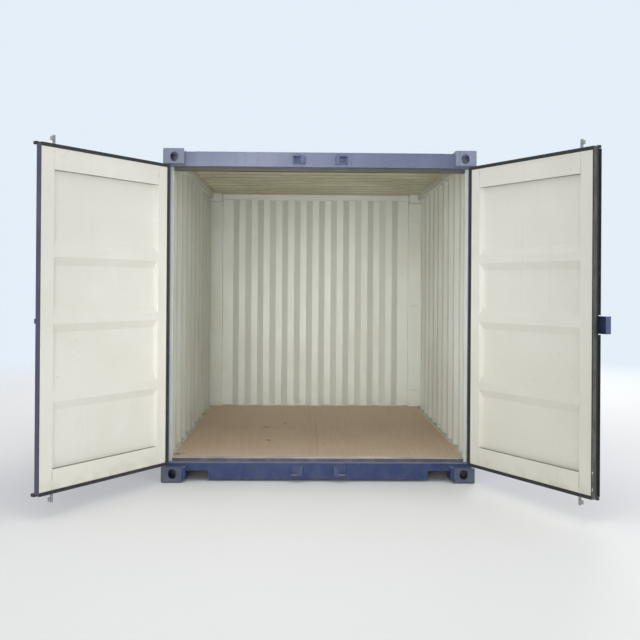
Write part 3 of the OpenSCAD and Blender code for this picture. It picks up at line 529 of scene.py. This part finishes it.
def inside_castings(centre, normal):
    """Picks the second finish for the faces of the upper back castings that look into the container."""
    low = centre.z < TOP_Z - CAST_Z + CAST_ROUND and normal.z < -SLOPING
    side = abs(centre.y) < CAST_IN_Y + CAST_ROUND and normal.y * centre.y < -SLOPING
    front = centre.x > CAST_L - END_X - CAST_ROUND and normal.x > SLOPING
    return int(centre.x < 0 and (low or side or front))


def leaf_frame(leaf):
    """Picks the second finish for the inside of a leaf's frame, and the third, a dark purple grey of painted
    shade, for its free edge.
    """
    across = leaf.local[1].xyz

    def pick(centre, normal):
        if normal.dot(leaf.outward) < -SLOPING:
            return 1
        return 2 if normal.dot(across) < -SQUARE else 0
    return pick


def leaf_panel(leaf):
    """Picks the second finish for the inside of a leaf's panel, and the third, a grey of painted shade, for
    the steps at its ends.
    """
    def pick(centre, normal):
        if normal.dot(leaf.outward) < -SLOPING:
            return 1
        return 2 if normal.z * (centre.z - TOP_Z / 2) < -SQUARE else 0
    return pick


def inside_back(centre, normal):
    """Picks the second finish for the back wall's inside, and the third, a duller cream of painted shade,
    for its slopes there.
    """
    if normal.x < SLOPING:
        return 0
    return 2 if abs(normal.y) > SLOPING else 1


def under_roof(centre, normal):
    """Picks the second finish, a darker olive cream of painted shade, for the ceiling, and the third, a
    lighter cream of painted light, for its slopes that look to the doors.
    """
    if normal.z > -SLOPING:
        return 0
    return 2 if normal.x > SLOPING else 1


def at_free_edge(centre, normal):
    """Picks the second finish for the right gasket's faces along the free edge."""
    across = LEAVES[1].local[1]
    return int(across.xyz.dot(centre) + across.w < FREE_EDGE and normal.dot(across.xyz) < -SQUARE)


for name in ("left_hinge_lugs", "right_hinge_lugs", "back_sill", "crossmembers", "fork_pockets",
             "left_hinge_blades", "right_hinge_blades", "right_lock_box", "left_lock_staple"):
    dress(name, FRAME_BLUE)
# The sill keepers' upward faces are pale: painted highlight, with worn patches.
dress("sill_keepers", KEEPER_BLUE, KEEPER_WEAR_HIGHLIGHT, pick=toward(UP))
dress("header_keepers", KEEPER_BLUE)
# The sill's upward faces take a painted highlight.
dress("door_sill", FRAME_BLUE, RISER_DARK, LEDGE_HIGHLIGHT, pick=at_riser)
# The header's faces at and behind the stop take painted shade.
dress("door_header", HEADER_BLUE, STOP_SHADE, pick=at_stop)
dress("bottom_castings", CASTING_BLUE)
dress("top_castings", CASTING_BLUE, CASTING_CREAM, pick=inside_castings)
# The ceiling takes painted shade, and its slopes that look to the doors take painted light.
dress("roof", SKIN_BLUE, CEILING_SHADE_CREAM, RIB_LIT_CREAM, pick=under_roof)
# The back wall's inner slopes take painted shade.
dress("back_wall", SKIN_BLUE, INNER_CREAM, SLOPE_SHADE_CREAM, pick=inside_back)
dress("back_header", SKIN_BLUE, INNER_CREAM, pick=toward(TO_DOORS, DOWN))
dress("lashing_bars", INNER_CREAM)
dress("threshold", WORN_STRIP)
for side, inward in INWARD.items():
    dress(f"{side}_wall", SKIN_BLUE, INNER_CREAM, pick=toward(inward))
    dress(f"{side}_back_post", SKIN_BLUE, POST_CREAM, pick=toward(inward, TO_DOORS))
    dress(f"{side}_door_post", FRAME_BLUE, INNER_CREAM, pick=at_stop)
    dress(f"{side}_top_rail", SKIN_BLUE, INNER_CREAM, pick=toward(inward, DOWN))
    dress(f"{side}_bottom_rail", FRAME_BLUE, INNER_CREAM, pick=toward(inward))
    dress(f"{side}_floor", FLOOR_PLY)
for leaf in LEAVES:
    # Each leaf's free edge takes painted shade.
    dress(f"{leaf.side}_door_frame", SKIN_BLUE, DOOR_CREAM[leaf.side], EDGE_SHADE, pick=leaf_frame(leaf))
    # Each panel's end steps take painted shade.
    dress(f"{leaf.side}_door_panel", SKIN_BLUE, DOOR_CREAM[leaf.side], STEP_SHADE, pick=leaf_panel(leaf))
    for part in ("bar_guides", "handle_catch", "lock_bar"):
        dress(f"{leaf.side}_{part}", ZINC_LOOK)
dress("left_door_gasket", SEAL)
dress("right_door_gasket", SEAL, EDGE_SEAL, pick=at_free_edge)


# Small pieces in mesh code.

# Edges sharper than this, in degrees, stay sharp.
SHARP_DEG = 38

# Turned shapes as radius and height pairs, in radii of the fastener.
WASHER = ((1.75, 0), (1.75, 0.22), (1.6, 0.32))
BOLT_HEAD = ((1.12, 0.32), (1.12, 0.903), (0.95, 1.05))
ROUND_HEAD = ((1, 0), (0.96, 0.2), (0.72, 0.42), (0.3, 0.53))

# Sides of the turned shapes.
HEX_SIDES, SCREW_SIDES, DOME_SIDES, WASHER_SIDES, COLLAR_SIDES = 6, 12, 14, 20, 28

# A bead's section in its two directions, the length of its steps in metres, and how uneven it is.
BEAD_SHAPE = ((-0.08, -0.08), (1, -0.08), (0.84, 0.5), (0.5, 0.84), (-0.08, 1))
BEAD_STEP = 0.011
WELD_RIPPLE, SEALANT_RIPPLE = 0.16, 0.1


def piece(name, body, material, build):
    """Makes one piece of the finish, which rides on a body."""
    mesh = bpy.data.meshes.new(name)
    bm = bmesh.new()
    build(bm)
    bmesh.ops.recalc_face_normals(bm, faces=bm.faces)
    bm.to_mesh(mesh)
    bm.free()
    mesh.materials.append(material)
    for face in mesh.polygons:
        face.use_smooth = True
    mesh.set_sharp_from_angle(angle=math.radians(SHARP_DEG))
    item = bpy.data.objects.new(name, mesh)
    bpy.context.collection.objects.link(item)
    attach(item, body)


def skin(bm, rings, loop=False):
    """Faces between successive rings of points; the ends are capped, or joined in a loop."""
    rings = [[bm.verts.new(point) for point in ring] for ring in rings]
    pairs = list(zip(rings, rings[1:])) + ([(rings[-1], rings[0])] if loop else [])
    for low, high in pairs:
        count = len(low)
        for k in range(count):
            bm.faces.new((low[k], low[(k + 1) % count], high[(k + 1) % count], high[k]))
    if not loop:
        bm.faces.new(rings[0])
        bm.faces.new(rings[-1])


def facing(place, spot, direction):
    """A placement whose Z runs along a direction from a spot."""
    turn = Vector(direction).to_track_quat("Z", "Y").to_matrix().to_4x4()
    return place @ Matrix.Translation(spot) @ turn


def lathe(bm, at, profile, sides, loop=False):
    """A turned shape from radius and height pairs; six sides make a hexagon."""
    def ring(radius, height):
        turns = [2 * math.pi * k / sides for k in range(sides)]
        return [at @ Vector((radius * math.cos(t), radius * math.sin(t), height)) for t in turns]
    skin(bm, [ring(radius, height) for radius, height in profile], loop)


def scaled(profile, radius):
    return [(radius * out, radius * height) for out, height in profile]


def bolt(bm, at, radius):
    """A hexagon head with chamfered rim on its washer."""
    lathe(bm, at, scaled(WASHER, radius), WASHER_SIDES)
    lathe(bm, at, scaled(BOLT_HEAD, radius), HEX_SIDES)


def dome(bm, at, radius):
    """A low round head."""
    lathe(bm, at, scaled(ROUND_HEAD, radius), DOME_SIDES)


def bead(bm, place, start, end, side_a, side_b, size, ripple=WELD_RIPPLE):
    """A weld or sealant line in the corner between two directions."""
    start, end, side_a, side_b = map(Vector, (start, end, side_a, side_b))
    count = max(2, round((end - start).length / BEAD_STEP))
    rings = []
    for k in range(count + 1):
        middle = start.lerp(end, k / count)
        grow = size * DICE.uniform(1 - ripple, 1 + ripple)
        rings.append([place @ (middle + side_a * u * grow + side_b * v * grow) for u, v in BEAD_SHAPE])
    skin(bm, rings)


def lath(bm, place, start, end, width, height, edge):
    """A flat strip between two places, its upper edges chamfered; width and height are vectors."""
    start, end, width, height = map(Vector, (start, end, width, height))
    shape = ((-0.5, 0), (0.5, 0), (0.5, 1 - edge), (0.5 - edge, 1), (edge - 0.5, 1), (-0.5, 1 - edge))
    skin(bm, [[place @ (spot + width * u + height * v) for u, v in shape] for spot in (start, end)])


# The placement of what is drawn on the fixed container.
HERE = Matrix()


# Details of the fixed container: sizes in metres, and the screws in each row of a floor half.
WELD_POST, WELD_SIDE, WELD_KEEPER, WELD_LUG = 0.007, 0.006, 0.005, 0.004
HEAD_WELD_RISE = 0.03
PIN_CAP_R = 0.0112
PIN_CAP_SINK = 0.002
SCREW_ROW = 8
SCREW_FIRST_Y = 0.06
SCREW_PITCH = 0.148
SCREW_DRIFT_X, SCREW_DRIFT_Y = 0.005, 0.004
SCREW_SINK = 0.0002
SCREW_HEAD = ((0.0065, 0), (0.0062, 0.0007), (0.0042, 0.0009), (0.0036, 0.0004))
SEALANT_WALL, SEALANT_FLOOR, SEALANT_STRIP = 0.006, 0.007, 0.004
SEALANT_GAP = 0.003
CAULK_T = 0.0015

# How far the caulk at each wall's foot reaches, along the wall's inward direction.
CAULK_RIMS = {"left_wall": box("left_bottom_rail")[1].y, "right_wall": -box("right_bottom_rail")[0].y,
              "back_wall": box("left_floor")[0].x}


def frame_welds(bm):
    """Welds of posts, header, keepers and hinge lugs to what carries them."""
    post_low, post_high = POST
    front = post_high.x
    head_low, head_high = box("door_header")
    face = head_high.x - HEAD_RECESS
    for side in (-1, 1):
        y0, y1 = side * (post_low.y + STOP_W), side * post_high.y
        for z, up in ((CAST_Z, 1), (TOP_Z - CAST_Z, -1)):
            bead(bm, HERE, (front, y0, z), (front, y1, z), (1, 0, 0), (0, 0, up), WELD_POST)
            bead(bm, HERE, (post_low.x, y1, z), (front, y1, z), (0, side, 0), (0, 0, up), WELD_SIDE)
        y = side * CAST_IN_Y
        bead(bm, HERE, (face, y, head_low.z + HEAD_WELD_RISE), (face, y, head_high.z),
             (1, 0, 0), (0, -side, 0), WELD_POST)
    for node in ("sill_keepers", "header_keepers"):
        for low, high in solid_boxes(node):
            for y, out in ((low.y, -1), (high.y, 1)):
                bead(bm, HERE, (low.x, y, low.z), (low.x, y, high.z), (1, 0, 0), (0, out, 0), WELD_KEEPER)
    for node in ("left_hinge_lugs", "right_hinge_lugs"):
        for low, high in solid_boxes(node):
            for z, up in ((high.z - PIN_END, 1), (low.z + PIN_END, -1)):
                bead(bm, HERE, (low.x, low.y, z), (low.x, high.y, z), (1, 0, 0), (0, 0, up), WELD_LUG)


def pin_caps(bm):
    """Peened ends of the hinge pins."""
    for node in ("left_hinge_lugs", "right_hinge_lugs"):
        for low, high in solid_boxes(node):
            y = math.copysign(HINGE_Y, low.y)
            for z, up in ((high.z, 1), (low.z, -1)):
                dome(bm, facing(HERE, (HINGE_X, y, z - up * PIN_CAP_SINK), (0, 0, up)), PIN_CAP_R)


def floor_screws(bm):
    """Countersunk screws over each crossmember."""
    for low, high in solid_boxes("crossmembers"):
        middle = (low.x + high.x) / 2
        for side in (-1, 1):
            for k in range(SCREW_ROW):
                y = side * (SCREW_FIRST_Y + SCREW_PITCH * k) + DICE.uniform(-SCREW_DRIFT_Y, SCREW_DRIFT_Y)
                x = middle + DICE.uniform(-SCREW_DRIFT_X, SCREW_DRIFT_X)
                lathe(bm, facing(HERE, (x, y, FLOOR_Z - SCREW_SINK), UP), SCREW_HEAD, SCREW_SIDES)


def wall_foot(node, inward):
    """The line of a corrugated wall's inner face along its foot, end to end."""
    mesh = NODES[node].data
    low = min(v.co.z for v in mesh.vertices)
    along = 0 if abs(inward.y) > SQUARE else 1
    points = {}
    for v in mesh.vertices:
        if v.co.z < low + NEAR:
            key = round(v.co[along], 4)
            if key not in points or v.co.dot(inward) > points[key].dot(inward):
                points[key] = v.co.copy()
    return [points[key] for key in sorted(points)]


def caulk_section(spot, inward, rim):
    """Section of the flat caulk from a wall's foot to a rim, both measured along the inward direction."""
    edge = spot + inward * (rim - spot.dot(inward))
    up = UP * CAULK_T
    return [spot, edge, edge + up, spot + up]


def sealant(bm):
    """Sealant where walls, floor and threshold meet."""
    for node, inward in (("left_wall", INWARD["left"]), ("right_wall", INWARD["right"]),
                         ("back_wall", TO_DOORS)):
        line = wall_foot(node, inward)
        for start, end in zip(line, line[1:]):
            out = UP.cross((end - start).normalized())
            if out.dot(inward) < 0:
                out = -out
            bead(bm, HERE, start, end, out, UP, SEALANT_WALL, SEALANT_RIPPLE)
        rim = CAULK_RIMS[node] - CAULK_T
        skin(bm, [caulk_section(spot, inward, rim) for spot in line])
    low, high = box("right_floor")
    for side in (-1, 1):
        y = side * (high.y + SEALANT_GAP)
        bead(bm, HERE, (low.x, y, FLOOR_Z), (high.x, y, FLOOR_Z), (0, -side, 0), UP,
             SEALANT_FLOOR, SEALANT_RIPPLE)
    edge = box("threshold")[0]
    bead(bm, HERE, (edge.x, edge.y, FLOOR_Z), (edge.x, -edge.y, FLOOR_Z), (-1, 0, 0), UP,
         SEALANT_STRIP, SEALANT_RIPPLE)


piece("frame_welds", "container", FRAME_BLUE, frame_welds)
piece("hinge_pin_caps", "container", FRAME_BLUE, pin_caps)
piece("floor_screws", "container", SCREW_STEEL, floor_screws)
piece("wall_sealant", "container", SEALANT, sealant)


# Details of the doors, drawn on the closed leaf as depth, place across and height: sizes in metres, and the
# number of rivets along the gasket retainers.
BOLT_R = 0.0046
GUIDE_BOLT_Y, GUIDE_BOLT_Z = 0.026, 0.021
CATCH_BOLT_Y = 0.013
CATCH_BOLT_Z = (0.014, 0.044)
HUB_BOLT_E, HUB_BOLT_Z = 0.0215, 0.016
BOLT_END_R = 0.011
RETAINER_W, RETAINER_T = 0.016, 0.0016
RETAINER_IN = 0.009
RETAINER_END = 0.012
RIVETS_ACROSS, RIVETS_DOWN = 7, 14
RIVET_R = 0.0036
RIVET_E = 0.0014
SEAM_W, SEAM_T = 0.006, 0.0012
SEAM_IN = 0.018
WELD_BLADE, WELD_BOX = 0.006, 0.005
BOX_WELD_Y = 0.008
COLLAR_OVER, COLLAR_UNDER = 0.008, 0.020
COLLAR = ((0.0167, 0), (0.0225, 0), (0.0235, 0.001), (0.0235, 0.011), (0.0225, 0.012), (0.0167, 0.012))

# Chamfers of the flat strips, as shares of their width and thickness.
RETAINER_EDGE, SEAM_EDGE = 0.12, 0.3

# Bolt ends on the inner face, from the free edge and from the leaf's top. The last value is 1 where the face
# is that of a pressed field.
BOLT_ENDS = {
    "left": ((0.170, 0.050, 0), (0.170, 0.120, 0), (0.300, 1.290, 1), (0.300, 1.380, 1),
             (0.164, 1.530, 1)),
    "right": ((0.180, 0.040, 0), (0.180, 0.120, 0), (0.650, 0.880, 1), (0.300, 1.370, 1),
              (0.180, 1.510, 1)),
}


def middles(start, end, count):
    """The middles of equal steps from start to end."""
    return [start + (end - start) * (k + 0.5) / count for k in range(count)]


def door_details(leaf):
    """Bolts, gasket retainers, seams and welds of one door, and the collars and bolts of its lock bar."""
    place = leaf.local.inverted()
    low, high = leaf.box("door_frame")
    out, inward = (-1, 0, 0), (1, 0, 0)
    axis = leaf.local @ Vector(JOINTS[f"{leaf.side}_lock_turn"]["pos_m"])
    guides = solid_boxes(f"{leaf.side}_bar_guides", leaf.local)
    guides.sort(key=lambda ends: ends[0].z)
    catch_low, catch_high = leaf.box("handle_catch")
    cream = DOOR_CREAM[leaf.side]

    def fixings(bm):
        for guide_low, guide_high in guides:
            middle = (guide_low.z + guide_high.z) / 2
            for dy in (-GUIDE_BOLT_Y, GUIDE_BOLT_Y):
                for dz in (-GUIDE_BOLT_Z, GUIDE_BOLT_Z):
                    spot = (guide_high.x - FOOT_T, axis.y + dy, middle + dz)
                    bolt(bm, facing(place, spot, out), BOLT_R)
        for y in (catch_low.y + CATCH_BOLT_Y, catch_high.y - CATCH_BOLT_Y):
            for dz in CATCH_BOLT_Z:
                bolt(bm, facing(place, (catch_high.x - FOOT_T, y, catch_low.z + dz), out), BOLT_R)

    def bolt_ends(bm):
        for y, drop, pressed in BOLT_ENDS[leaf.side]:
            spot = (high.x - pressed * FIELD_D, low.y + y, high.z - drop)
            dome(bm, facing(place, spot, inward), BOLT_END_R)

    def retainers(bm):
        thick = (RETAINER_T, 0, 0)
        edge = GASKET_OVER + RETAINER_IN
        y0, y1 = low.y + RETAINER_END, high.y - edge
        z0, z1 = low.z + edge, high.z - edge
        for z in (z0, z1):
            lath(bm, place, (high.x, y0, z), (high.x, y1, z), (0, 0, RETAINER_W), thick, RETAINER_EDGE)
        lath(bm, place, (high.x, y1, z0), (high.x, y1, z1), (0, RETAINER_W, 0), thick, RETAINER_EDGE)
        rivets = [(y, z) for y in middles(y0, y1, RIVETS_ACROSS) for z in (z0, z1)]
        rivets += [(y1, z) for z in middles(z0, z1, RIVETS_DOWN)]
        for y, z in rivets:
            dome(bm, facing(place, (high.x + RIVET_E, y, z), inward), RIVET_R)

    def rail_seams(bm):
        panel_low, panel_high = leaf.box("door_panel")
        edge = GASKET_OVER + SEAM_IN
        for y in (panel_low.y, panel_high.y):
            for z0, z1 in ((low.z + edge, panel_low.z), (panel_high.z, high.z - edge)):
                lath(bm, place, (high.x, y, z0), (high.x, y, z1), (0, SEAM_W, 0), (SEAM_T, 0, 0), SEAM_EDGE)

    def welds(bm):
        for blade_low, blade_high in solid_boxes(f"{leaf.side}_hinge_blades", leaf.local):
            y0, y1 = blade_low.y, high.y
            for z, up in ((blade_high.z, 1), (blade_low.z, -1)):
                bead(bm, place, (low.x, y0, z), (low.x, y1, z), out, (0, 0, up), WELD_BLADE)
            bead(bm, place, (low.x, y0, blade_low.z), (low.x, y0, blade_high.z), out, (0, -1, 0), WELD_BLADE)
        if leaf.side == "right":
            lock_low, lock_high = leaf.box("lock_box")
            y0, y1 = low.y + BOX_WELD_Y, lock_high.y
            for z, up in ((lock_high.z, 1), (lock_low.z, -1)):
                bead(bm, place, (low.x, y0, z), (low.x, y1, z), out, (0, 0, up), WELD_BOX)

    def collars(bm):
        for z in (guides[0][1].z + COLLAR_OVER, guides[-1][0].z - COLLAR_UNDER):
            at = place @ Matrix.Translation((axis.x, axis.y, z))
            lathe(bm, at, COLLAR, COLLAR_SIDES, loop=True)
        hub = catch_high.z + HANDLE_OVER
        for dz in (-HUB_BOLT_Z, HUB_BOLT_Z):
            bolt(bm, facing(place, (axis.x - HUB_BOLT_E, axis.y, hub + dz), out), BOLT_R)

    door, bar = f"{leaf.side}_door", f"{leaf.side}_lock_bar"
    piece(f"{leaf.side}_gear_bolts", door, ZINC_LOOK, fixings)
    piece(f"{leaf.side}_bolt_ends", door, cream, bolt_ends)
    piece(f"{leaf.side}_gasket_retainers", door, cream, retainers)
    piece(f"{leaf.side}_rail_seams", door, SEALANT, rail_seams)
    piece(f"{leaf.side}_door_welds", door, FRAME_BLUE, welds)
    piece(f"{leaf.side}_bar_collars", bar, ZINC_LOOK, collars)


for leaf in LEAVES:
    door_details(leaf)


# Camera at the photograph's place, in metres and radians.
CAMERA_AT = Vector((7.763, -0.1006, 1.5254))
CAMERA_YAW = 0.0166
CAMERA_PITCH = 0.003
CAMERA_ROLL = 0.0067
FOCAL_PIXELS = 808.4
PHOTO_PIXELS = 640
SENSOR_MM = 36
SHIFT_PIXELS = -36


def make_camera():
    """The camera that fits the photograph's points, turned by yaw, then pitch, then roll."""
    data = bpy.data.cameras.new("camera")
    data.sensor_fit = "HORIZONTAL"
    data.sensor_width = SENSOR_MM
    data.lens = FOCAL_PIXELS / PHOTO_PIXELS * SENSOR_MM
    data.shift_y = SHIFT_PIXELS / PHOTO_PIXELS
    forward = Vector((-math.cos(CAMERA_YAW), math.sin(CAMERA_YAW), 0))
    right = Vector((math.sin(CAMERA_YAW), math.cos(CAMERA_YAW), 0))
    tilted = forward * math.cos(CAMERA_PITCH) + UP * math.sin(CAMERA_PITCH)
    raised = UP * math.cos(CAMERA_PITCH) - forward * math.sin(CAMERA_PITCH)
    rolled_right = right * math.cos(CAMERA_ROLL) + raised * math.sin(CAMERA_ROLL)
    rolled_up = raised * math.cos(CAMERA_ROLL) - right * math.sin(CAMERA_ROLL)
    camera = bpy.data.objects.new("camera", data)
    camera.matrix_world = Matrix((
        (rolled_right.x, rolled_up.x, -tilted.x, CAMERA_AT.x),
        (rolled_right.y, rolled_up.y, -tilted.y, CAMERA_AT.y),
        (rolled_right.z, rolled_up.z, -tilted.z, CAMERA_AT.z),
        (0, 0, 0, 1),
    ))
    bpy.context.collection.objects.link(camera)
    bpy.context.scene.camera = camera


# Studio: a pale floor that fades out with distance, a pale surround and soft light, in metres.
STUDIO_SIZE = 60
FLOOR_DROP = 0.002
FLOOR_FADE = (4.5, 11)
FLOOR_PALE = (0.9, 0.9, 0.895, 1)
SURROUND = (0.78, 0.86, 0.94, 1)
AMBIENT = (0.97, 0.985, 1, 1)
AMBIENT_STRENGTH = 0.68

# Lamps as place, target, size, power in watts and spread in degrees.
LAMPS = {
    "side_right": ((10, 15, 3.6), (1.5, -1, 1.2), 6, 600, 180),
    "side_left": ((10, -15, 3.6), (1.5, 1, 1.2), 6, 220, 180),
    "front": ((18, -2, 3.2), (0, 0, 1.2), 5, 350, 180),
    "inside": ((6.5, -0.6, 1.3), (-1.3, 0.25, 1.2), 1.6, 9.8, 38),
    "top": ((3, 0, 13), (3, 0, 0), 9, 280, 180),
    "rear": ((-15, 7, 6), (0, 0, 1.2), 6, 1000, 180),
}


def make_floor():
    mesh = bpy.data.meshes.new("studio_floor")
    half = STUDIO_SIZE / 2
    rim = [(-half, -half, 0), (half, -half, 0), (half, half, 0), (-half, half, 0)]
    mesh.from_pydata(rim, [], [(0, 1, 2, 3)])
    floor = bpy.data.objects.new("studio_floor", mesh)
    floor.location.z = -FLOOR_DROP
    s = Shader("studio_floor", roughness=0.9)
    s.colour(FLOOR_PALE)
    s.feed(s.bsdf.inputs["Alpha"], s.band(s.distance((0, 0, 0)), *FLOOR_FADE, 1.0, 0.0))
    floor.data.materials.append(s.material)
    bpy.context.collection.objects.link(floor)


def make_world():
    """Even light from all round; the camera, reflections and glass see a plain pale surround."""
    world = bpy.data.worlds.new("studio")
    world.use_nodes = True
    tree = world.node_tree
    lit = tree.nodes["Background"]
    lit.inputs["Color"].default_value = AMBIENT
    lit.inputs["Strength"].default_value = AMBIENT_STRENGTH
    seen = tree.nodes.new("ShaderNodeBackground")
    seen.inputs["Color"].default_value = SURROUND
    rays = tree.nodes.new("ShaderNodeLightPath")
    direct = rays.outputs["Is Camera Ray"]
    for kind in ("Is Glossy Ray", "Is Transmission Ray"):
        either = tree.nodes.new("ShaderNodeMath")
        either.operation = "MAXIMUM"
        tree.links.new(direct, either.inputs[0])
        tree.links.new(rays.outputs[kind], either.inputs[1])
        direct = either.outputs[0]
    mix = tree.nodes.new("ShaderNodeMixShader")
    tree.links.new(direct, mix.inputs["Fac"])
    tree.links.new(lit.outputs[0], mix.inputs[1])
    tree.links.new(seen.outputs[0], mix.inputs[2])
    tree.links.new(mix.outputs[0], tree.nodes["World Output"].inputs["Surface"])
    bpy.context.scene.world = world


def area_light(name, place, target, size, power, spread):
    data = bpy.data.lights.new(name, "AREA")
    data.size = size
    data.energy = power
    data.spread = math.radians(spread)
    lamp = bpy.data.objects.new(name, data)
    lamp.location = place
    lamp.rotation_euler = (Vector(target) - Vector(place)).to_track_quat("-Z", "Y").to_euler()
    bpy.context.collection.objects.link(lamp)


make_camera()
make_floor()
make_world()
for name, settings in LAMPS.items():
    area_light(name, *settings)
bpy.context.scene.view_settings.view_transform = "Standard"
